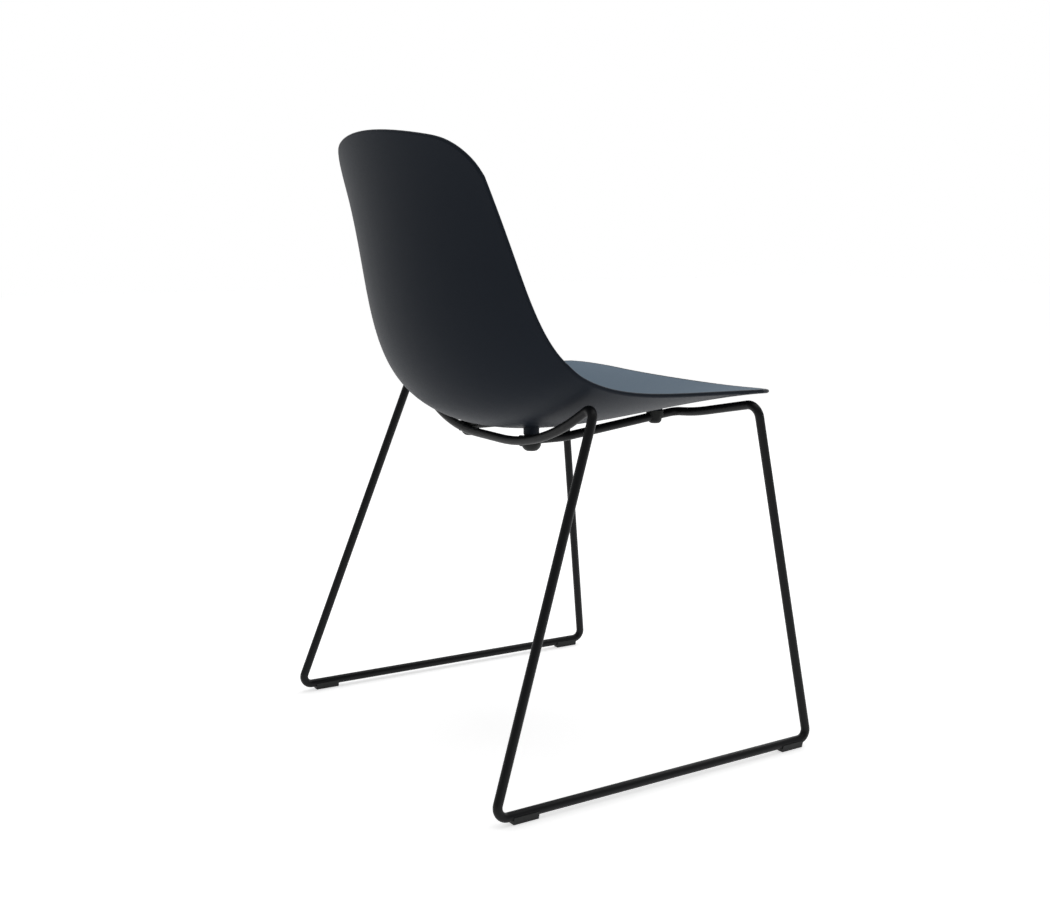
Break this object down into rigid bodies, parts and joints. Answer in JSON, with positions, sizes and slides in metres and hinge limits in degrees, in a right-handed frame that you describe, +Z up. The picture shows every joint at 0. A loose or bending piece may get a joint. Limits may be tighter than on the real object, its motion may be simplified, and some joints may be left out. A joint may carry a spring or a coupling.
{
  "type": "moulded plastic shell chair",
  "caption": "Side chair with a one-piece seat and back shell of moulded plastic in two layers, clamped to a sled base of bent steel rod with plastic floor glides.",
  "frame": {"origin": "middle of the chair's outline at floor level", "axes": "+X toward the sitter's left, -Y toward the front of the seat, +Z up"},
  "size_m": [0.5946, 0.5198, 0.8195],
  "materials": {
    "shell_outer": "fine mould texture, satin",
    "shell_inner": "fine mould texture, matte",
    "frame_coat": "satin powder coat",
    "clamp_plastic": "satin",
    "glide_plastic": "satin",
    "screw_steel": "black zinc",
    "washer_steel": "black zinc",
    "insert_brass": "turned"
  },
  "bodies": {
    "root": {"outer_shell": "shell_outer", "inner_shell": "shell_inner", "left_rod": "frame_coat", "right_rod": "frame_coat", "middle_weld": "frame_coat", "left_arm_weld": "frame_coat", "right_arm_weld": "frame_coat", "seat_screws": "screw_steel", "seat_washers": "washer_steel", "threaded_inserts": "insert_brass", "rear_left_saddle": "clamp_plastic", "rear_left_cap": "clamp_plastic", "rear_left_glide": "glide_plastic", "rear_right_saddle": "clamp_plastic", "rear_right_cap": "clamp_plastic", "rear_right_glide": "glide_plastic", "front_left_saddle": "clamp_plastic", "front_left_cap": "clamp_plastic", "front_left_glide": "glide_plastic", "front_right_saddle": "clamp_plastic", "front_right_cap": "clamp_plastic", "front_right_glide": "glide_plastic"}
  },
  "joints": []
}
